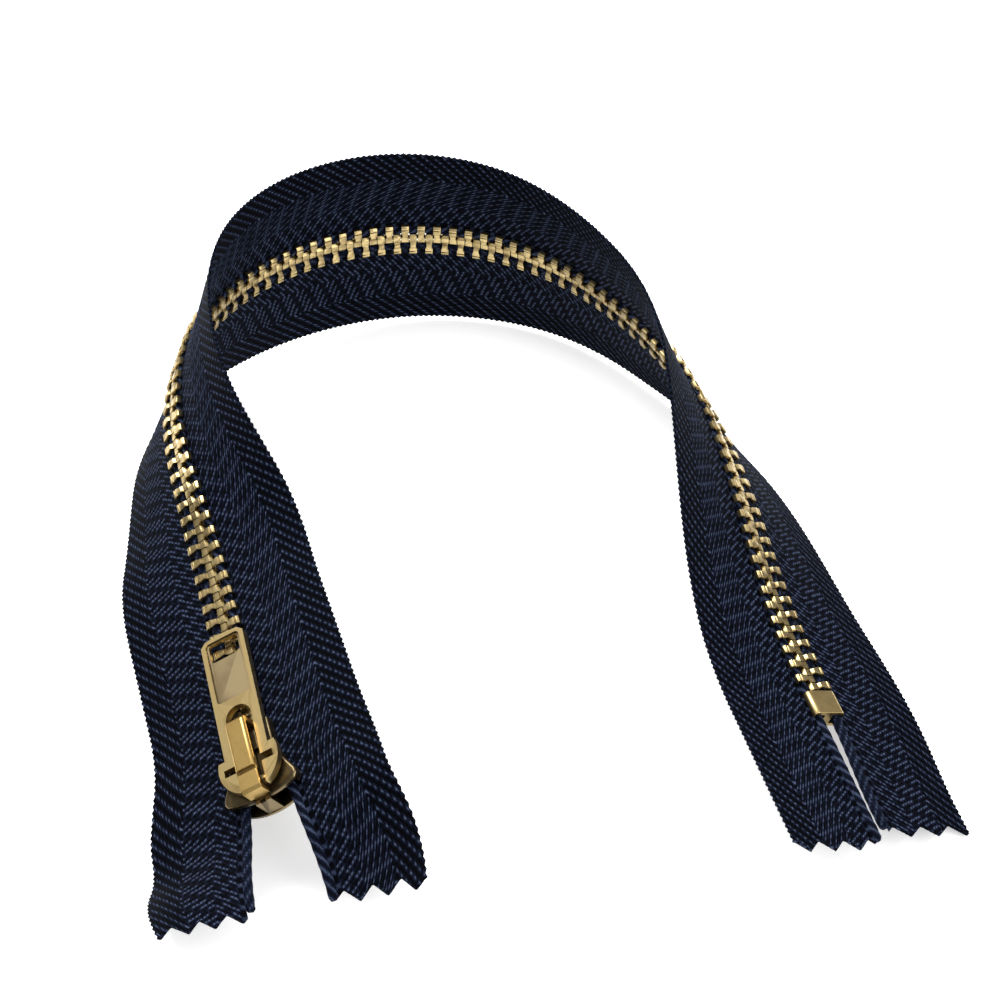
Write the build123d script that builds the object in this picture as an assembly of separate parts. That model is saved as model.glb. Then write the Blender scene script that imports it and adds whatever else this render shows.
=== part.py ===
import math
import os

from build123d import *

os.makedirs("parts", exist_ok=True)

# Driving sizes, mm
pitch = 2.5
tooth_thick = 1.1
chain_half = 2.5
jaw_high = 1.2
head_high = 0.85
head_reach = 0.75
waist_r = 1.1
waist_deep = 0.16
cord_at = 1.43
cord_r = 0.62
tape_in = 2.14
tape_out = 14.8
tape_thick = 0.5
strip_end = 272.8
far_ends = {-1: 270.8, 1: 272.8}
open_end = -1.2
first_tooth = 42.0
teeth_after = 81
stop_from = 247.0
stop_to = 250.9

# Where the open ends hinge, where the rows part, and the slider's middle, along the strip
hinge_at = 46.4
part_at = 21.5
slider_at = 20.5
flat_from = 14.0

# How the strip lies: distance along it, bend and twist in degrees per 10 mm
lie = (
    (0, -20, -33),
    (8, -9, -37),
    (14, 0, 0),
    (47, 0, 0),
    (60, 3, -18),
    (75, -13, -8),
    (95, -15, -9),
    (115, -16, -4),
    (135, -19, 2),
    (155, -16, 6),
    (175, -8, 4),
    (195, -9, 12),
    (215, -2, 9),
    (235, 7, 7),
    (250, 0, 0),
    (272, 0, 0),
)
heading = 15
climb = 8.2
lean = 29.7


def turned(v, axis, angle):
    """The vector turned about the axis."""
    c = math.cos(angle)
    s = math.sin(angle)
    return v * c + axis.cross(v) * s + axis * (axis.dot(v) * (1 - c))


def rates(at):
    for a, b in zip(lie, lie[1:]):
        if at <= b[0]:
            f = max(0.0, (at - a[0]) / (b[0] - a[0]))
            bend = a[1] + f * (b[1] - a[1])
            twist = a[2] + f * (b[2] - a[2])
            return math.radians(bend) / 10, math.radians(twist) / 10
    return 0.0, 0.0


def walk(start, stop, frame, step):
    """Frames along the strip from start to stop: point, across, along, face."""
    rows = [(start, frame)]
    at = start
    point, across, along, face = frame
    count = round(abs(stop - start) / abs(step))
    for _ in range(count):
        bend, twist = rates(at + step / 2)
        axis = across * bend + along * twist
        angle = axis.length * step
        if abs(angle) > 1e-9:
            unit = axis / axis.length
            half = turned(along, unit, angle / 2)
            across = turned(across, unit, angle)
            along = turned(along, unit, angle)
            face = turned(face, unit, angle)
        else:
            half = along
        point = point + half * step
        at = at + step
        rows.append((at, (point, across, along, face)))
    return rows


step = 0.5
across = Vector(1, 0, 0)
along = Vector(0, 1, 0)
face = Vector(0, 0, 1)
x_axis = Vector(1, 0, 0)
z_axis = Vector(0, 0, 1)
across = turned(across, Vector(0, 1, 0), -math.radians(lean))
face = turned(face, Vector(0, 1, 0), -math.radians(lean))
across = turned(turned(across, x_axis, math.radians(climb)), z_axis, math.radians(heading))
along = turned(turned(along, x_axis, math.radians(climb)), z_axis, math.radians(heading))
face = turned(turned(face, x_axis, math.radians(climb)), z_axis, math.radians(heading))
# Where the strip's flat stretch starts, chosen so that the whole part stands on the floor
# with the origin under the middle of its box
start_point = Vector(-36.49, -36.22, 11.24)
start_frame = (start_point, across, along, face)
back_rows = walk(slider_at, -4.0, start_frame, -step)
fore_rows = walk(slider_at, strip_end + 2, start_frame, step)
strip_rows = back_rows[::-1] + fore_rows[1:]


def strip(at):
    """The plane of the strip at a distance along it: X across, Y along, Z out of its face."""
    place = (at - strip_rows[0][0]) / step
    i = min(max(int(place), 0), len(strip_rows) - 2)
    f = place - i
    a = strip_rows[i][1]
    b = strip_rows[i + 1][1]
    point = a[0] * (1 - f) + b[0] * f
    side = a[1] * (1 - f) + b[1] * f
    up = a[3] * (1 - f) + b[3] * f
    return Plane(origin=point, x_dir=side, z_dir=up)


def spot(x, at, z=0.0):
    """A point at x across, at along and z out of the strip's face."""
    return strip(at).from_local_coords(Vector(x, 0, z))


# The two rows part inside the slider, then flare, each at its own angle in degrees
flare = {-1: 9, 1: 4}
# How far each tape's outer edge has moved out at a distance along the strip
outer_lie = {
    -1: ((-4, 4.2), (3, 3.8), (8, 3.7), (14.7, 3.9), (19, 3.0), (22.7, 1.4), (28, 0.0)),
    1: ((-4, 3.1), (2, 2.6), (12, 2.5), (18, 2.1), (23.7, 1.4), (35, 0.7), (46, 0.0)),
}


def outer_shift(side, at):
    """How far a tape's outer edge has moved out at a distance along the strip."""
    for a, b in zip(outer_lie[side], outer_lie[side][1:]):
        if at <= b[0]:
            f = max(0.0, (at - a[0]) / (b[0] - a[0]))
            return a[1] + f * (b[1] - a[1])
    return 0.0


def parting(side, u):
    """How a row's cord lies at u along it: its own shift out, distance along and angle."""
    if u >= part_at:
        return 0.0, u, 0.0
    out = 0.0
    at = part_at
    gone = 0.0
    d = 0.1
    angle = 0.0
    while gone < part_at - u - 1e-6:
        m = gone + d / 2
        if m < 2.5:
            angle = 25 * m / 2.5
        elif m < 5.5:
            angle = 25
        elif m < 8:
            angle = 25 - (25 - flare[side]) * (m - 5.5) / 2.5
        else:
            angle = flare[side]
        out += d * math.sin(math.radians(angle))
        at -= d * math.cos(math.radians(angle))
        gone += d
    return out, at, angle


def shift_at(side, at):
    """How far a tape's inner edge has moved out at a distance along the strip."""
    if at >= part_at:
        return 0.0
    u = part_at
    while parting(side, u)[1] > at and u > -6:
        u -= 0.2
    return parting(side, u)[0]


def row_plane(side, u):
    """The plane of a tooth on one row, side +1 or -1, with Y towards the closed chain."""
    out, at, angle = parting(side, u)
    here = strip(at)
    a = math.radians(angle)
    side_dir = here.x_dir * math.cos(a) + here.y_dir * (side * math.sin(a))
    cord = here.from_local_coords(Vector(side * (cord_at + out), 0, 0))
    return Plane(origin=cord - side_dir * (side * cord_at), x_dir=side_dir, z_dir=here.z_dir)


def clamp_outline(inner, high, outer):
    """The cut through a piece clamped on the cord, open outwards for the tape."""
    pts = [
        (inner, high - 0.4),
        (inner + 0.35, high),
        (outer - 0.3, high),
        (outer, high - 0.25),
        (outer, 0.32),
        (2.16, 0.32),
        (2.16, 0.77),
        (0.7, 0.77),
        (0.7, -0.77),
        (2.16, -0.77),
        (2.16, -0.32),
        (outer, -0.32),
        (outer, 0.25 - high),
        (outer - 0.3, -high),
        (inner + 0.35, -high),
        (inner, 0.4 - high),
    ]
    return pts


def extruded(pts, length):
    """An outline in X and Z, extruded evenly both ways along Y."""
    face_made = make_face(Plane.XZ * Polyline(*pts, close=True))
    return extrude(face_made, length / 2, both=True)


def tooth():
    """A tooth of the right-hand row: jaws round the cord, a head with a peg and a pit."""
    pts = [
        (-head_reach, 0.5),
        (-0.4, head_high),
        (0.5, head_high),
        (0.8, jaw_high),
        (1.8, jaw_high),
        (1.9, jaw_high - 0.14),
        (2.02, jaw_high),
        (2.2, jaw_high),
        (chain_half, 0.95),
        (chain_half, 0.32),
        (2.16, 0.32),
        (2.16, 0.77),
        (0.7, 0.77),
        (0.7, -0.77),
        (2.16, -0.77),
        (2.16, -0.32),
        (chain_half, -0.32),
        (chain_half, -0.95),
        (2.2, -jaw_high),
        (2.02, -jaw_high),
        (1.9, 0.14 - jaw_high),
        (1.8, -jaw_high),
        (0.8, -jaw_high),
        (0.5, -head_high),
        (-0.4, -head_high),
        (-head_reach, -0.5),
    ]
    body = extruded(pts, tooth_thick)
    peg = Pos(0, tooth_thick / 2 + 0.1, 0) * Box(0.6, 0.4, 0.6)
    pit = Pos(0, -tooth_thick / 2, 0) * Box(0.84, 0.6, 0.84)
    body = body - pit + peg
    # the waist between the jaws and the head
    for s in (1, -1):
        body = body - Pos(0.85, s * (tooth_thick / 2 + waist_r - waist_deep), 0) * Cylinder(waist_r, 4)
    return body


def row(side, first, last):
    """One row of teeth, between two tooth numbers, as separate solids."""
    one = tooth()
    if side < 0:
        one = one.mirror(Plane.YZ)
    start = first_tooth if side > 0 else first_tooth + pitch / 2
    made = []
    for k in range(first, last + 1):
        made.append(row_plane(side, start + k * pitch).location * one.solid())
    return Compound(children=made)


def cord(side, u_from, u_to, gap):
    """The cord woven into a tape's inner edge."""
    count = math.ceil((u_to - u_from) / gap)
    rings = []
    for i in range(count + 1):
        here = row_plane(side, u_from + (u_to - u_from) * i / count)
        middle = here.from_local_coords(Vector(side * cord_at, 0, 0))
        cut = Plane(origin=middle, x_dir=here.x_dir, z_dir=here.y_dir)
        rings.append(cut * RegularPolygon(cord_r, 8))
    return loft(Sketch() + rings)


def section(inner, outer):
    """A tape's cut between two places, each given as across and along."""
    up = (strip(inner[1]).z_dir + strip(outer[1]).z_dir).normalized() * (tape_thick / 2)
    near = spot(*inner)
    far = spot(*outer)
    corners = [near + up, far + up, far - up, near - up]
    return Face(Wire(Polyline(*corners, close=True).edges()))


def notches(side, at, shift, outward, first, wide):
    """The V cuts of a pinked end, as prisms. outward is the way off the tape's end."""
    cutters = []
    plane = strip(at)
    for i in range(4):
        x = side * (first + shift + wide * i)
        tip = (x, -outward * 1.7)
        a = (x - wide / 2 - 0.01, outward * 0.4)
        b = (x + wide / 2 + 0.01, outward * 0.4)
        tri = make_face(Polyline(tip, a, b, close=True))
        cutters.append(plane.location * extrude(tri, 1.5, both=True))
    return cutters


# The pinked ends: the first notch's distance from the chain's middle, and their spacing
far_pinking = {-1: (3.0, 4.6), 1: (2.85, 3.95)}
open_pinking = {-1: (4.6, 3.95), 1: (3.0, 4.15)}


def tape(side):
    """One tape of the closed chain, from the open end's hinge line to the pinked far end."""
    first = hinge_at + 0.15
    slope = math.tan(math.radians(10.5))
    inner = (side * tape_in, first + tape_in * slope)
    outer = (side * tape_out, first + tape_out * slope)
    sections = [section(inner, outer)]
    at = 53.0
    end = far_ends[side]
    while at < end - 1:
        sections.append(section((side * tape_in, at), (side * tape_out, at)))
        at += 7.25
    sections.append(section((side * tape_in, end), (side * tape_out, end)))
    made = loft(Sketch() + sections)
    for cutter in notches(side, end, 0, 1, *far_pinking[side]):
        made = made - cutter
    return made


def tape_top(side):
    """The open end of a tape: flat through the slider, then curved, with a pinked end."""
    h = tape_thick / 2
    plane = strip(slider_at)
    inner = []
    outer = []
    stops = [hinge_at, 35, 28, 23.7, part_at, 20.5, 19.5, 18.5, 17.5, 16.5, 15.5, 14.75, flat_from]
    for at in stops:
        inner.append((side * (tape_in + shift_at(side, at)), at - slider_at))
        outer.append((side * (tape_out + outer_shift(side, at)), at - slider_at))
    sheet = make_face(Polyline(*inner, *outer[::-1], close=True))
    flat = plane.location * extrude(sheet, h, both=True)
    sections = []
    for at in (flat_from, 11.5, 9.0, 6.5, 4.0, 1.5, open_end):
        near = side * (tape_in + shift_at(side, at))
        far = side * (tape_out + outer_shift(side, at))
        sections.append(section((near, at), (far, at)))
    end = loft(Sketch() + sections)
    made = flat + end
    for cutter in notches(side, open_end, outer_shift(side, 0), -1, *open_pinking[side]):
        made = made - cutter
    return made


def top_stop(side):
    """The small clamp at the open end of a row."""
    one = extruded(clamp_outline(0.35, 1.15, 2.35), 1.9)
    if side < 0:
        one = one.mirror(Plane.YZ)
    return row_plane(side, 17.1).location * one.solid()


def bottom_stop():
    """The clamp across both rows at the closed end."""
    long = stop_to - stop_from
    block = Box(4.8, long, 2.8)
    block = fillet(block.edges().filter_by(Axis.Y), 0.7)
    for side in (1, -1):
        block = block - Pos(side * 1.43, 0, 0) * Box(1.5, long + 1, 1.54)
        block = block - Pos(side * 2.4, 0, 0) * Box(1.2, long + 1, 0.64)
    return strip((stop_from + stop_to) / 2).location * block


# The slider, in its own frame: X across, Y towards the closed chain, Z out of the face
plate_in = 1.35
plate_out = 2.15
slit = 0.6
side_line = [(3.4, 5.0), (3.45, 0.9), (4.15, -1.4), (5.4, -3.7), (5.5, -4.5), (5.1, -5.1)]
wall_line = [(2.72, 6.5), (2.72, 0.9), (3.42, -1.4), (4.75, -4.1), (5.0, -5.2), (5.3, -7.5)]


def mirrored(pts):
    return [(-x, y) for x, y in pts[::-1]]


def plate(front):
    """A slider plate's outline, with its wide end bulging to front."""
    right = [(2.9, 5.5)] + side_line
    left = mirrored(right)
    lines = Polyline(*right)
    lines += ThreePointArc(right[-1], (0, front), left[0])
    lines += Polyline(*left)
    lines += Line(left[-1], right[0])
    return make_face(lines)


def slider_body():
    """Two plates, their side flanges and the wedge between the two mouths."""
    slab = extrude(plate(-5.9), plate_out - plate_in)
    slab = fillet(slab.faces().sort_by(Axis.Z)[-1].edges(), 0.35)
    top_plate = Pos(0, 0, plate_in) * slab
    slab = extrude(plate(-6.6), plate_out - plate_in)
    slab = chamfer(slab.faces().sort_by(Axis.Z)[0].edges(), 0.3)
    low_plate = Pos(0, 0, -plate_out) * slab
    rim = extrude(plate(-5.9), plate_in + 0.1, both=True)
    channel_pts = wall_line + mirrored(wall_line)
    channel = extrude(make_face(Polyline(*channel_pts, close=True)), 3, both=True)
    rim = rim - channel - Box(20, 20, 2 * slit)
    made = top_plate + low_plate + rim
    wedge_pts = [(0.25, -3.4), (0.9, -5.1), (1.15, -6.5), (-1.15, -6.5), (-0.9, -5.1)]
    wedge_pts.append((-0.25, -3.4))
    wedge = Pos(0, 0, -1.5) * extrude(make_face(Polyline(*wedge_pts, close=True)), 3.65)
    made = made + wedge
    made = made - Pos(0, -6.3, plate_out) * Box(0.8, 0.5, 0.4)
    made = made - Pos(0.9, 2.85, 1.8) * Box(1.9, 1.5, 1.4)
    made = made - Pos(0, 4.8, 1.95) * Box(2.94, 0.66, 0.6)
    made = made - Pos(0, -5.5, 1.95) * Box(1.86, 0.66, 0.6)
    return made


def crown():
    """The bridge that the pull hangs on."""
    pts = [
        (5.1, 1.68),
        (5.1, 4.75),
        (4.6, 5.3),
        (-2.5, 5.3),
        (-2.6, 4.8),
        (-3.05, 4.8),
        (-3.1, 5.0),
        (-5.35, 4.95),
        (-5.8, 4.5),
        (-5.8, 1.68),
        (-5.2, 1.68),
        (-5.2, 4.5),
        (-5.1, 4.55),
        (4.2, 4.55),
        (4.5, 4.3),
        (4.5, 1.68),
    ]
    face_made = make_face(Plane.YZ * Polyline(*pts, close=True))
    body = extrude(face_made, 1.45, both=True)
    for s in (1, -1):
        body = body - Pos(s * 1.95, -5.5, 1.9) * Box(2.04, 1.2, 1.3)
    top = body.faces().filter_by(Axis.Z).sort_by(Axis.Z)[-1]
    long_edges = top.edges().filter_by(Axis.Y)
    return fillet(long_edges, 0.45)


def leaf():
    """The lock: a leaf over the pull's bar, with a claw down through the top plate."""
    pts = [
        (-5.1, 4.08),
        (-3.35, 4.08),
        (-1.6, 2.55),
        (2.35, 2.45),
        (2.35, 0.75),
        (3.15, 0.75),
        (3.15, 2.5),
        (3.5, 2.5),
        (3.5, 2.8),
        (-1.45, 2.88),
        (-3.25, 4.36),
        (-5.1, 4.36),
    ]
    face_made = make_face(Plane.YZ * Polyline(*pts, close=True))
    body = extrude(face_made, 1.5, both=True)
    body = body - Pos(-1.15, 0, 3) * Box(0.8, 14, 6)
    return body - Pos(1.1, -2.2, 3.2) * Box(0.8, 6.2, 6) - Pos(0.03, 2.8, 1.2) * Box(1.7, 2, 2.2)


def lock_spring():
    """The folded strip that presses the leaf down."""
    pts = [
        (2.0, 4.5),
        (4.3, 4.5),
        (4.4, 4.3),
        (3.2, 2.95),
        (3.05, 3.0),
        (4.15, 4.28),
        (4.1, 4.36),
        (2.0, 4.36),
    ]
    return extrude(make_face(Plane.YZ * Polyline(*pts, close=True)), 0.6, both=True)


# The pull, in a frame at its pivot: Y towards its free end
pivot = (0, -4.2, 3.35)
pull_droop = 3.4
pull_thick = 1.1
pull_end = 23.9
shank_half = 3.3
slot_half = 1.95
slot_end = 12.15


def pull_tab():
    """The pull: round end, slot for the crown, panel and window."""
    h = pull_thick / 2
    disc = Pos(0, 3.3) * Circle(4.5)
    disc = disc - Pos(0, 10.8) * Rectangle(20, 12)
    shank = make_face(
        Polyline(
            (-shank_half, 2),
            (shank_half, 2),
            (shank_half, pull_end - 0.9),
            (shank_half - 0.8, pull_end - 0.2),
            (0, pull_end),
            (0.8 - shank_half, pull_end - 0.2),
            (-shank_half, pull_end - 0.9),
            close=True,
        )
    )
    flat = disc + shank
    body = extrude(flat, h, both=True)
    stem_long = slot_end - slot_half
    stem = Pos(0, stem_long / 2) * Rectangle(2 * slot_half, stem_long) + Pos(0, stem_long) * Circle(slot_half)
    arms = Pos(0, 2.95) * Rectangle(7.4, 1.1)
    heel = Pos(0, -1.0) * Rectangle(2 * slot_half, 2.0)
    body = body - extrude(stem + arms + heel, 2, both=True)
    bar = fillet(Box(2 * slot_half + 0.2, 1.3, pull_thick).edges().filter_by(Axis.X), 0.5)
    body = body + bar
    window = fillet(Box(4.5, 2.9, 3).edges().filter_by(Axis.Z), 0.5)
    body = body - Pos(0, 21.6, 0) * window
    panel = fillet(Box(5.2, 9.7, 0.5).edges().filter_by(Axis.Z), 0.6)
    body = body - Pos(0, 18.35, h) * panel
    body = body - Pos(0, 18.35, -h) * panel
    return Location(pivot, (-pull_droop, 0, 0)) * body


on_slider = strip(slider_at).location
parts = {
    "left_tape": tape(-1),
    "right_tape": tape(1),
    "left_cord": cord(-1, hinge_at + 0.35, far_ends[-1] - 1.4, 5),
    "right_cord": cord(1, hinge_at + 0.35, far_ends[1] - 1.4, 5),
    "left_teeth": row(-1, 2, teeth_after),
    "right_teeth": row(1, 2, teeth_after),
    "bottom_stop": bottom_stop(),
    "left_tape_top": tape_top(-1),
    "right_tape_top": tape_top(1),
    "left_cord_top": cord(-1, -0.4, hinge_at - 0.2, 1.5),
    "right_cord_top": cord(1, -1.0, hinge_at - 0.2, 1.5),
    "left_teeth_top": row(-1, -9, 1),
    "right_teeth_top": row(1, -9, 1),
    "left_top_stop": top_stop(-1),
    "right_top_stop": top_stop(1),
    "slider_body": on_slider * slider_body(),
    "crown": on_slider * crown(),
    "lock_leaf": on_slider * leaf(),
    "lock_spring": on_slider * lock_spring(),
    "pull_tab": on_slider * pull_tab(),
}
for name, shape in parts.items():
    export_step(shape, f"parts/{name}.step")
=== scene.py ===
import bpy
import math
import random
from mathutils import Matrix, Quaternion, Vector


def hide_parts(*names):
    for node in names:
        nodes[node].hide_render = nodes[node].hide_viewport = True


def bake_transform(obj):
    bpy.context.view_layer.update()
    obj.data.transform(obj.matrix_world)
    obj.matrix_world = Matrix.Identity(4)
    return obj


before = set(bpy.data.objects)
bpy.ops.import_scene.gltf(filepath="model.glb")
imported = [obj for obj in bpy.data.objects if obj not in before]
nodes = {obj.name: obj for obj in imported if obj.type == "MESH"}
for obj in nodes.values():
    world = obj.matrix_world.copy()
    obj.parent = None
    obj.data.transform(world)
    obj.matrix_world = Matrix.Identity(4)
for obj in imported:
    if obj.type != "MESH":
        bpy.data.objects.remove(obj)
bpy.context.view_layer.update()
random.seed(11)
mm = 0.001
print("frame loaded:", len(nodes), "nodes")

# ---- how the strip of zipper lies, in mm: distance, bend and twist in degrees per 10 mm
strip = {
    "ends": {-1: 270.8, 1: 272.8},
    "openEnd": -1.2,
    "hinge": 46.4,
    "slider": 20.5,
    "partAt": 21.5,
    "start": (-36.49, -36.22, 11.24),
    "heading": 15,
    "climb": 8.2,
    "lean": 29.7,
    "step": 0.5,
    "lie": [
        (0, -20, -33), (8, -9, -37), (14, 0, 0), (47, 0, 0), (60, 3, -18), (75, -13, -8),
        (95, -15, -9), (115, -16, -4), (135, -19, 2), (155, -16, 6), (175, -8, 4),
        (195, -9, 12), (215, -2, 9), (235, 7, 7), (250, 0, 0), (272, 0, 0),
    ],
    "flare": {-1: 9, 1: 4},
    "stopAt": 250.9,
    "tailReach": 16.0,
    "tailShift": {-1: -0.9, 1: 0.1},
    "outerShift": {
        -1: [(-4, 4.2), (3, 3.8), (8, 3.7), (14.7, 3.9), (19, 3.0), (22.7, 1.4), (28, 0.0)],
        1: [(-4, 3.1), (2, 2.6), (12, 2.5), (18, 2.1), (23.7, 1.4), (35, 0.7), (46, 0.0)],
    },
}


def ratesAt(at):
    for a, b in zip(strip["lie"], strip["lie"][1:]):
        if at <= b[0]:
            f = max(0.0, (at - a[0]) / (b[0] - a[0]))
            bend = a[1] + f * (b[1] - a[1])
            twist = a[2] + f * (b[2] - a[2])
            return math.radians(bend) / 10, math.radians(twist) / 10
    return 0.0, 0.0


def walk(stop, place, step):
    at = strip["slider"]
    rows = [(at, place)]
    point, across, along, face = place
    for _ in range(round(abs(stop - at) / abs(step))):
        bend, twist = ratesAt(at + step / 2)
        axis = across * bend + along * twist
        half = along
        if axis.length * abs(step) > 1e-9:
            half = Quaternion(axis.normalized(), axis.length * step / 2) @ along
            turn = Quaternion(axis.normalized(), axis.length * step)
            across, along, face = turn @ across, turn @ along, turn @ face
        point = point + half * step
        at += step
        rows.append((at, (point, across, along, face)))
    return rows


lay = (
    Quaternion((0, 0, 1), math.radians(strip["heading"]))
    @ Quaternion((1, 0, 0), math.radians(strip["climb"]))
    @ Quaternion((0, 1, 0), -math.radians(strip["lean"]))
)
flatAxes = [lay @ Vector(axis) for axis in ((1, 0, 0), (0, 1, 0), (0, 0, 1))]
flatPlace = (Vector(strip["start"]), *flatAxes)
backRows = walk(-4.0, flatPlace, -strip["step"])
foreRows = walk(276.0, flatPlace, strip["step"])
stripRows = backRows[::-1] + foreRows[1:]


def placeAt(at):
    i = (at - stripRows[0][0]) / strip["step"]
    k = min(max(int(i), 0), len(stripRows) - 2)
    f = i - k
    return [a * (1 - f) + b * f for a, b in zip(stripRows[k][1], stripRows[k + 1][1])]


def spot(x, at, z=0.0):
    point, across, along, face = placeAt(at)
    return (point + across * x + face * z) * mm


def parting(side, u):
    # a row's own shift out, distance along and angle once the slider has parted the rows
    if u >= strip["partAt"]:
        return 0.0, u, 0.0
    out, at, angle, gone, d = 0.0, strip["partAt"], 0.0, 0.0, 0.1
    flare = strip["flare"][side]
    while gone < strip["partAt"] - u - 1e-6:
        m = gone + d / 2
        if m < 2.5:
            angle = 25 * m / 2.5
        elif m < 5.5:
            angle = 25
        elif m < 8:
            angle = 25 - (25 - flare) * (m - 5.5) / 2.5
        else:
            angle = flare
        out += d * math.sin(math.radians(angle))
        at -= d * math.cos(math.radians(angle))
        gone += d
    return out, at, angle


shiftTables = {side: [parting(side, strip["partAt"] - 0.2 * i)[:2] for i in range(135)] for side in (-1, 1)}


def innerShift(side, at):
    for a, b in zip(shiftTables[side], shiftTables[side][1:]):
        if b[1] <= at:
            f = max(0.0, (a[1] - at) / (a[1] - b[1]))
            return a[0] + f * (b[0] - a[0]) if at < strip["partAt"] else 0.0
    return shiftTables[side][-1][0]


def outerShift(side, at):
    # smoothed, so the tape's edge curves instead of kinking
    total = 0.0
    for k in range(-3, 4):
        here = at + k * 1.1
        for a, b in zip(strip["outerShift"][side], strip["outerShift"][side][1:]):
            if here <= b[0]:
                f = max(0.0, (here - a[0]) / (b[0] - a[0]))
                total += a[1] + f * (b[1] - a[1])
                break
    return total / 7


shiftCache = {}


def shiftAt(side, f, at):
    # the cloth's shift out at f across it, from 0 at the cord to 1 at the selvedge
    if at > 50:
        past = min(max((at - strip["stopAt"]) / strip["tailReach"], 0.0), 1.0)
        return strip["tailShift"][side] * past * past * (3 - 2 * past)
    key = (side, round(at * 20))
    if key not in shiftCache:
        shiftCache[key] = (innerShift(side, at), outerShift(side, at))
    near, far = shiftCache[key]
    return near + (far - near) * (3 * f * f - 2 * f * f * f)


def rowPlace(side, u):
    # the frame of one row's cord at u along it, turned with the row where it parts
    out, at, angle = parting(side, u)
    if at > 50:
        out = shiftAt(side, 0, at)
    point, across, along, face = placeAt(at)
    a = math.radians(angle)
    outward = across * math.cos(a) + along * (side * math.sin(a))
    forward = face.cross(outward)
    return point + across * (side * (edgeCord["at"] + out)), outward, forward, face


# ---- materials
def newMaterial(name):
    material = bpy.data.materials.new(name)
    material.use_nodes = True
    tree = material.node_tree
    tree.nodes.clear()
    shader = tree.nodes.new("ShaderNodeBsdfPrincipled")
    out = tree.nodes.new("ShaderNodeOutputMaterial")
    tree.links.new(shader.outputs["BSDF"], out.inputs["Surface"])
    return material, tree, shader


def addNode(tree, kind, values=None, **settings):
    node = tree.nodes.new(kind)
    for key, value in settings.items():
        setattr(node, key, value)
    for key, value in (values or {}).items():
        if isinstance(value, bpy.types.NodeSocket):
            tree.links.new(value, node.inputs[key])
        else:
            node.inputs[key].default_value = value
    return node


def ramp(tree, source, stops):
    node = addNode(tree, "ShaderNodeValToRGB", {"Fac": source})
    while len(node.color_ramp.elements) < len(stops):
        node.color_ramp.elements.new(0.5)
    for element, (place, colour) in zip(node.color_ramp.elements, stops):
        element.position = place
        element.color = (*colour, 1) if len(colour) == 3 else colour
    return node.outputs["Color"]


wovenTape = {
    # the darkest colour is painted shade in the weave's furrows, the lightest is painted highlight on the
    # thread tops
    "furrowShade": (0.0002, 0.0004, 0.0015),
    "mid": (0.0055, 0.0085, 0.021),
    "threadHighlight": (0.075, 0.098, 0.165),
    "fibreDrift": 0.46,
    "patchDrift": 0.24,
}


def tapeMaterial(name, look):
    material, tree, shader = newMaterial(name)
    weave = addNode(tree, "ShaderNodeAttribute", attribute_name="relief")
    place = addNode(tree, "ShaderNodeTexCoord").outputs["Object"]
    fibres = addNode(tree, "ShaderNodeTexNoise", {"Vector": place, "Scale": 5200.0, "Detail": 4.0})
    patches = addNode(tree, "ShaderNodeTexNoise", {"Vector": place, "Scale": 420.0, "Detail": 2.0})
    spread = look["fibreDrift"]
    fibreMix = {0: fibres.outputs["Fac"], 1: spread, 2: -spread / 2}
    lit = addNode(tree, "ShaderNodeMath", fibreMix, operation="MULTIPLY_ADD")
    level = addNode(tree, "ShaderNodeMath", {0: weave.outputs["Fac"], 1: lit.outputs[0]}, operation="ADD")
    patchMix = {0: patches.outputs["Fac"], 1: look["patchDrift"], 2: -look["patchDrift"] / 2}
    drift = addNode(tree, "ShaderNodeMath", patchMix, operation="MULTIPLY_ADD")
    both = addNode(tree, "ShaderNodeMath", {0: level.outputs[0], 1: drift.outputs[0]}, operation="ADD")
    # the weave's relief paints the colour: painted shade in the furrows, painted highlight on the threads;
    # the noise is the yarn's own uneven tone
    colour = ramp(tree, both.outputs[0], [(0.22, look["furrowShade"]), (0.62, look["mid"]), (1.05, look["threadHighlight"])])
    tree.links.new(colour, shader.inputs["Base Color"])
    shader.inputs["Roughness"].default_value = 0.75
    shader.inputs["Specular IOR Level"].default_value = 0.04
    fuzz = {"Strength": 0.5, "Distance": 0.00006, "Height": fibres.outputs["Fac"]}
    bump = addNode(tree, "ShaderNodeBump", fuzz)
    tree.links.new(bump.outputs["Normal"], shader.inputs["Normal"])
    return material


antiqueBrass = {
    "bright": (0.64, 0.48, 0.215),
    "body": (0.3, 0.21, 0.085),
    # the darkest colour fills the hollows: partly patina, partly painted shade
    "patinaAndShade": (0.008, 0.005, 0.002),
    "roughLow": 0.3,
    "roughHigh": 0.55,
}


# the pull's sunk panel gets a darker, duller finish; the slider's body is near black, painted shade
# for the pull's shadow over it; the crown is rubbed
panelBrass = {
    **antiqueBrass,
    "bright": (0.34, 0.265, 0.145),
    "body": (0.225, 0.17, 0.095),
    "roughLow": 0.5,
    "roughHigh": 0.68,
}
# painted shade: the body's near-black colours stand in for the shadow of the pull over the slider
shadedBodyBrass = {
    **antiqueBrass,
    "bright": (0.3, 0.23, 0.12),
    "body": (0.035, 0.025, 0.013),
    "patinaAndShade": (0.006, 0.004, 0.002),
}
toothLook = {
    **antiqueBrass,
    "bright": (0.52, 0.4, 0.19),
    "body": (0.19, 0.135, 0.06),
    "patinaAndShade": (0.008, 0.005, 0.002),
}
crownBrass = {**antiqueBrass, "bright": (0.66, 0.45, 0.16), "body": (0.36, 0.235, 0.075)}


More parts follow.
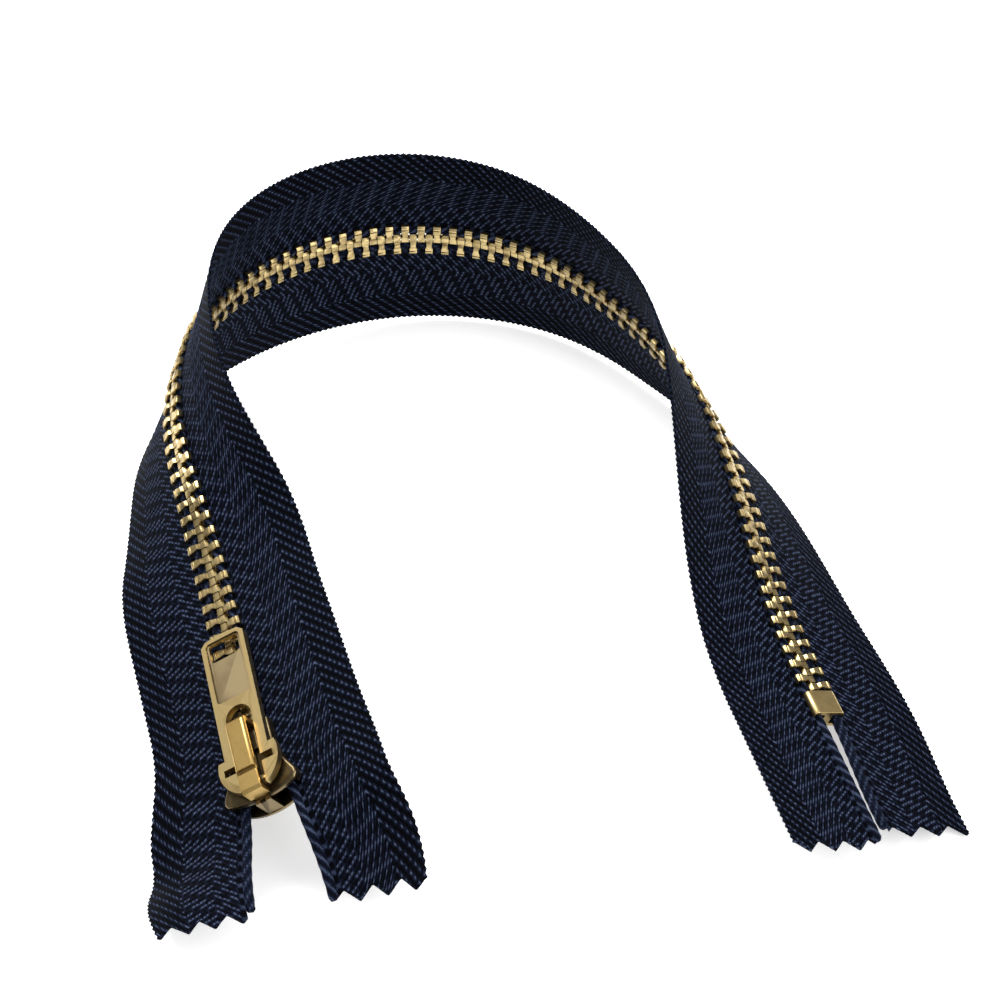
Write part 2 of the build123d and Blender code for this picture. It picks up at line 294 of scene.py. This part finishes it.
def brassMaterial(name, look, patinaShadeReach, grain, wear=1.0):
    material, tree, shader = newMaterial(name)
    place = addNode(tree, "ShaderNodeTexCoord").outputs["Object"]
    # the AO darkens hollows and crevices towards the darkest colour: partly patina, partly painted shade
    # where shade falls
    hollow = addNode(tree, "ShaderNodeAmbientOcclusion", {"Distance": patinaShadeReach}, samples=6, only_local=True)
    edges = addNode(tree, "ShaderNodeNewGeometry").outputs["Pointiness"]
    clouds = {"Vector": place, "Scale": grain, "Detail": 5.0, "Roughness": 0.6}
    cloudy = addNode(tree, "ShaderNodeTexNoise", clouds)
    fine = addNode(tree, "ShaderNodeTexNoise", {"Vector": place, "Scale": grain * 6, "Detail": 3.0})
    rubbed = {"Value": edges, "From Min": 0.5, "From Max": 0.6, "To Max": 0.45 * wear}
    worn = addNode(tree, "ShaderNodeMapRange", rubbed)
    clear = {"Value": hollow.outputs["AO"], "From Min": 0.35, "From Max": 0.95}
    opened = addNode(tree, "ShaderNodeMapRange", clear)
    cloudMix = {0: cloudy.outputs["Fac"], 1: 0.5, 2: -0.25}
    mixed = addNode(tree, "ShaderNodeMath", cloudMix, operation="MULTIPLY_ADD")
    openMix = {0: opened.outputs[0], 1: 0.62, 2: mixed.outputs[0]}
    level = addNode(tree, "ShaderNodeMath", openMix, operation="MULTIPLY_ADD")
    wornMix = {0: level.outputs[0], 1: worn.outputs[0]}
    total = addNode(tree, "ShaderNodeMath", wornMix, operation="ADD", use_clamp=True)
    stages = [(0.1, look["patinaAndShade"]), (0.6, look["body"]), (0.95, look["bright"])]
    colour = ramp(tree, total.outputs[0], stages)
    tree.links.new(colour, shader.inputs["Base Color"])
    roughness = {"Value": total.outputs[0], "To Min": look["roughHigh"], "To Max": look["roughLow"]}
    rough = addNode(tree, "ShaderNodeMapRange", roughness)
    tree.links.new(rough.outputs[0], shader.inputs["Roughness"])
    shader.inputs["Metallic"].default_value = 1.0
    pits = {"Strength": 0.25, "Distance": 0.00004, "Height": fine.outputs["Fac"]}
    bump = addNode(tree, "ShaderNodeBump", pits)
    tree.links.new(bump.outputs["Normal"], shader.inputs["Normal"])
    return material


tapeCloth = tapeMaterial("navyTape", wovenTape)
cordYarn = tapeMaterial("navyCord", wovenTape)
# the reach sets how far the darkening of hollows spreads on each piece, patina and painted shade
toothBrass = brassMaterial("toothBrass", toothLook, 0.0011, 900.0)
sliderBrass = brassMaterial("sliderBrass", shadedBodyBrass, 0.0016, 260.0)
stopBrass = brassMaterial("stopBrass", antiqueBrass, 0.0008, 420.0)
crownMetal = brassMaterial("crownMetal", crownBrass, 0.0009, 300.0)
panelMetal = brassMaterial("panelMetal", panelBrass, 0.0009, 420.0)
pullBrass = brassMaterial("pullBrass", antiqueBrass, 0.0009, 220.0)
print("materials made")


# ---- the woven tapes: one sheet each, from pinked end to pinked end
tape = {
    "inner": 2.0,
    "outer": 14.8,
    "pinkDeep": 1.7,
    "farPinking": {-1: (3.0, 4.6), 1: (2.85, 3.95)},
    "openPinking": {-1: (4.6, 3.95), 1: (3.0, 4.15)},
    "columns": 50,
    "ribPitch": 1.7,
    "rowsPerRib": 4,
    "slope": 1.2,
    "turnAt": 10.4,
    "halfThick": 0.19,
    "ribHigh": 0.12,
    "bindTo": 2.6,
    "loopOut": 0.13,
}


def chevron(side, a):
    # how far a rib has moved along the strip at a across, measured from the chain
    t = tape
    if a >= t["turnAt"]:
        moved = t["slope"] * (t["outer"] - a)
    else:
        moved = t["slope"] * max(0.0, (t["outer"] - t["turnAt"]) - (t["turnAt"] - a))
    return -moved if side < 0 else moved


def pinked(side, a, low):
    # where the cut end lies at a across: a zigzag between the end line and its notches
    t = tape
    first, wide = t["openPinking" if low else "farPinking"][side]
    away = abs((a - first + wide / 2) % wide - wide / 2) / (wide / 2)
    deep = t["pinkDeep"] * (1 - away)
    return strip["openEnd"] + deep if low else strip["ends"][side] - deep


def relief(row, col, a):
    # height of the weave from 0 in the furrows to 1 on the threads; the same value paints the colour,
    # painted shade in the furrows and painted highlight on the threads
    t = tape
    if a >= t["turnAt"]:
        ribbed = 0.5 + 0.5 * math.cos(2 * math.pi * row / t["rowsPerRib"])
        return ribbed * (1.0, 0.55, 0.9, 0.3)[(col + row // 4) % 4]
    if a < t["bindTo"]:
        return -0.1 if row % 4 < 2 and col > 0 else 0.7
    thread = (1.0, 0.6, 0.0, 0.5)[(col + 2 * (row % 2)) % 4]
    return thread * (0.45 if (row // 2 + col // 4) % 3 == 0 else 1.0)


def makeTape(name, side):
    t = tape
    step = t["ribPitch"] / t["rowsPerRib"]
    reach = t["slope"] * (t["outer"] - t["turnAt"])
    firstRow = int(-reach / step) - 1
    lastRow = int((strip["ends"][side] + reach) / step) + 2
    widths = [t["inner"] + (t["outer"] - t["inner"]) * i / (t["columns"] - 1) for i in range(t["columns"])]
    verts, faces, heights, uvs = [], [], [], []
    rng = random.Random(5 if side < 0 else 6)
    lines = []
    for row in range(firstRow, lastRow + 1):
        sway = 0.04 * math.sin(row * 0.37) + rng.uniform(-0.03, 0.03)
        line = []
        for col, a in enumerate(widths):
            at = row * step + chevron(side, a) + sway
            low, high = pinked(side, a, True), pinked(side, a, False)
            at = min(max(at, low), high)
            h = relief(row, col, a)
            out = a
            if col == t["columns"] - 1:
                out += t["loopOut"] if row % 2 == 0 else -0.08
                h = 0.7 if row % 2 == 0 else 0.1
            line.append((side * (out + shiftAt(side, col / (t["columns"] - 1), at)), at, h))
        lines.append(line)
    for z in (1, -1):
        for line in lines:
            for x, at, h in line:
                verts.append(spot(x, at, z * (t["halfThick"] + t["ribHigh"] * (h - 0.5))))
                heights.append(h)
    rows, cols = len(lines), t["columns"]
    back = rows * cols
    for i in range(rows - 1):
        for j in range(cols - 1):
            a, b = i * cols + j, i * cols + j + 1
            c, d = b + cols, a + cols
            flip = side < 0
            faces.append((a, d, c, b) if flip else (a, b, c, d))
            under = (a + back, b + back, c + back, d + back)
            faces.append(under if flip else (under[0], under[3], under[2], under[1]))
    rim = [i * cols for i in range(rows)] + [(rows - 1) * cols + j for j in range(1, cols)]
    rim += [i * cols + cols - 1 for i in range(rows - 2, -1, -1)] + [j for j in range(cols - 2, 0, -1)]
    for a, b in zip(rim, rim[1:] + rim[:1]):
        faces.append((a, b, b + back, a + back) if side < 0 else (b, a, a + back, b + back))
    mesh = bpy.data.meshes.new(name)
    mesh.from_pydata(verts, [], faces)
    # the relief is kept on the mesh to paint the weave's painted shade and painted highlight
    mesh.attributes.new("relief", "FLOAT", "POINT").data.foreach_set("value", heights)
    piece = bpy.data.objects.new(name, mesh)
    bpy.context.scene.collection.objects.link(piece)
    closeMesh(piece)
    mesh.materials.append(tapeCloth)
    return piece


def closeMesh(piece, gap=0.00001):
    bpy.ops.object.select_all(action="DESELECT")
    bpy.context.view_layer.objects.active = piece
    piece.select_set(True)
    bpy.ops.object.mode_set(mode="EDIT")
    bpy.ops.mesh.select_all(action="SELECT")
    bpy.ops.mesh.remove_doubles(threshold=gap)
    bpy.ops.mesh.dissolve_degenerate(threshold=gap)
    bpy.ops.mesh.select_all(action="SELECT")
    bpy.ops.mesh.normals_make_consistent(inside=False)
    bpy.ops.object.mode_set(mode="OBJECT")
    bpy.ops.object.shade_smooth()
    piece.select_set(False)


# ---- the cord along each tape's inner edge
edgeCord = {"at": 1.43, "radius": 0.7, "sides": 10, "gap": 0.42, "from": {-1: -0.4, 1: -1.0}, "to": 1.4}


def makeCord(name, side):
    c = edgeCord
    verts, faces, heights = [], [], []
    begin, end = c["from"][side], strip["ends"][side] - c["to"]
    count = int((end - begin) / c["gap"])
    for i in range(count + 1):
        u = begin + (end - begin) * i / count
        middle, outward, forward, face = rowPlace(side, u)
        for k in range(c["sides"]):
            angle = 2 * math.pi * k / c["sides"]
            twist = 0.5 + 0.5 * math.cos(3 * angle - side * i * 1.35)
            r = c["radius"] * (0.9 + 0.1 * twist)
            if i in (0, count):
                r *= 0.6
            verts.append((middle + (outward * math.cos(angle) + face * math.sin(angle)) * r) * mm)
            # the twist's ridges get painted highlight and its grooves painted shade through the relief
            heights.append(0.25 + 0.6 * twist)
    n = c["sides"]
    for i in range(count):
        for k in range(n):
            a, b = i * n + k, i * n + (k + 1) % n
            faces.append((a, b, b + n, a + n))
    faces.append(tuple(range(n)))
    faces.append(tuple(count * n + k for k in range(n)))
    mesh = bpy.data.meshes.new(name)
    mesh.from_pydata(verts, [], faces)
    mesh.attributes.new("relief", "FLOAT", "POINT").data.foreach_set("value", heights)
    piece = bpy.data.objects.new(name, mesh)
    bpy.context.scene.collection.objects.link(piece)
    closeMesh(piece)
    mesh.materials.append(cordYarn)
    return piece


hingePoint, hingeAcross, hingeAlong, hingeFace = placeAt(strip["hinge"])
opening = {"lean": 0.85, "reach": 4.5}
openWay = (hingeAlong + Vector((1, 0, 0)) * opening["lean"]).normalized()
for side, word in ((-1, "left"), (1, "right")):
    cloth = makeTape(word + "_woven_tape", side)
    bead = makeCord(word + "_edge_cord", side)
    for piece in (cloth, bead):
        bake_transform(piece)
    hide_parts(word + "_tape", word + "_tape_top")
    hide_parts(word + "_cord", word + "_cord_top")
    farLeg = [(Vector(v.co) / mm - hingePoint).dot(openWay) for v in cloth.data.vertices]
    leastPast = round(min(farLeg[len(farLeg) // 2:]), 1)
    print(word, "tape:", len(cloth.data.polygons), "faces, least past the hinge", leastPast)


# ---- metal pieces keep their CAD shape, with eased edges and a brass finish
def easeEdges(node, width, segments, angle=32):
    weld = node.modifiers.new("weld", "WELD")
    weld.merge_threshold = 0.000004
    flat = node.modifiers.new("flat", "DECIMATE")
    flat.decimate_type = "DISSOLVE"
    flat.angle_limit = math.radians(0.8)
    bevel = node.modifiers.new("ease", "BEVEL")
    bevel.limit_method = "ANGLE"
    bevel.angle_limit = math.radians(angle)
    bevel.width = width * mm
    bevel.segments = segments
    bevel.use_clamp_overlap = True
    bevel.miter_outer = "MITER_ARC"
    bevel.harden_normals = False
    smooth = node.modifiers.new("even", "WEIGHTED_NORMAL")
    smooth.keep_sharp = False
    smooth.weight = 100


finishes = {
    "left_teeth": (toothBrass, 0.12, 2), "right_teeth": (toothBrass, 0.12, 2),
    "left_teeth_top": (toothBrass, 0.12, 2), "right_teeth_top": (toothBrass, 0.12, 2),
    "left_top_stop": (stopBrass, 0.15, 2), "right_top_stop": (stopBrass, 0.15, 2),
    "bottom_stop": (stopBrass, 0.15, 2), "slider_body": (sliderBrass, 0.16, 2),
    "crown": (crownMetal, 0.14, 2), "lock_leaf": (sliderBrass, 0.05, 1),
    "lock_spring": (sliderBrass, 0.03, 1), "pull_tab": (pullBrass, 0.2, 3),
}
for name, (material, width, segments) in finishes.items():
    node = nodes[name]
    node.data.materials.clear()
    node.data.materials.append(material)
    for polygon in node.data.polygons:
        polygon.use_smooth = True
    easeEdges(node, width, segments)

# the faces at the bottom of the pull's sunk panels get the darker, duller panel finish
pullSize = {"pivot": (0, -4.2, 3.35), "droop": 3.4, "panelAway": 0.3, "panelNear": 0.06, "facing": 0.95}
seat, seatAcross, seatAlong, seatFace = placeAt(strip["slider"])
pivotY, pivotZ = pullSize["pivot"][1], pullSize["pivot"][2]
pullPoint = seat + seatAlong * pivotY + seatFace * pivotZ
pullFace = Quaternion(seatAcross, -math.radians(pullSize["droop"])) @ seatFace
pull = nodes["pull_tab"]
pull.data.materials.append(panelMetal)
sunk = 0
for polygon in pull.data.polygons:
    away = abs((Vector(polygon.center) / mm - pullPoint).dot(pullFace))
    facing = abs(polygon.normal.dot(pullFace)) > pullSize["facing"]
    if facing and abs(away - pullSize["panelAway"]) < pullSize["panelNear"]:
        polygon.material_index = 1
        sunk += 1
print("metal finished, panel faces:", sunk)


# ---- floor, lights and camera
studio = {
    "floor": (0.93, 0.93, 0.93),
    "world": 0.9,
    "glow": 0.5,
    "key": ((-0.25, 0.35, 0.6), 0.5, 5.5),
    "fill": ((0.45, -0.3, 0.5), 0.6, 2.5),
    "distance": 0.4391,
    "elevation": 47.55,
    "lens": 108.0,
}
# what the camera looks at, measured from where the slider's stretch lies
studio["target"] = (Vector(strip["start"]) + Vector((31.34, 56.48, -10.34))) * mm


def addLight(name, place, size, power):
    lamp = bpy.data.lights.new(name, "AREA")
    lamp.shape = "DISK"
    lamp.size = size
    lamp.energy = power
    holder = bpy.data.objects.new(name, lamp)
    holder.location = place
    holder.rotation_euler = (Vector(studio["target"]) - Vector(place)).to_track_quat("-Z", "Y").to_euler()
    bpy.context.scene.collection.objects.link(holder)


bpy.ops.mesh.primitive_plane_add(size=6, location=(0, 0, -0.00005))
floor = bpy.context.active_object
floor.name = "floor"
floorMaterial, floorTree, floorShader = newMaterial("paleFloor")
floorShader.inputs["Base Color"].default_value = (*studio["floor"], 1)
floorShader.inputs["Roughness"].default_value = 0.9
floor.data.materials.append(floorMaterial)
floorShader.inputs["Emission Color"].default_value = (1, 1, 1, 1)
floorShader.inputs["Emission Strength"].default_value = studio["glow"]
world = bpy.data.worlds.new("studio")
world.use_nodes = True
sky = world.node_tree
upward = sky.nodes.new("ShaderNodeTexCoord")
height = sky.nodes.new("ShaderNodeSeparateXYZ")
shade = sky.nodes.new("ShaderNodeValToRGB")
sky.links.new(upward.outputs["Generated"], height.inputs[0])
sky.links.new(height.outputs["Z"], shade.inputs["Fac"])
shade.color_ramp.elements[0].position = 0.15
shade.color_ramp.elements[0].color = (0.1, 0.1, 0.1, 1)
shade.color_ramp.elements[1].position = 0.85
shade.color_ramp.elements[1].color = (1, 1, 1, 1)
sky.links.new(shade.outputs["Color"], sky.nodes["Background"].inputs["Color"])
sky.nodes["Background"].inputs["Strength"].default_value = studio["world"]
bpy.context.scene.world = world
addLight("keyLight", *studio["key"])
addLight("fillLight", *studio["fill"])
lens = bpy.data.cameras.new("camera")
lens.lens = studio["lens"]
lens.sensor_width = 36
lens.clip_start = 0.01
camera = bpy.data.objects.new("camera", lens)
tilt = math.radians(studio["elevation"])
camera.location = Vector(studio["target"]) + Vector((0, -math.cos(tilt), math.sin(tilt))) * studio["distance"]
camera.rotation_euler = (math.pi / 2 - tilt, 0, 0)
bpy.context.scene.collection.objects.link(camera)
bpy.context.scene.camera = camera
bpy.context.scene.view_settings.view_transform = "Standard"
print("studio set")
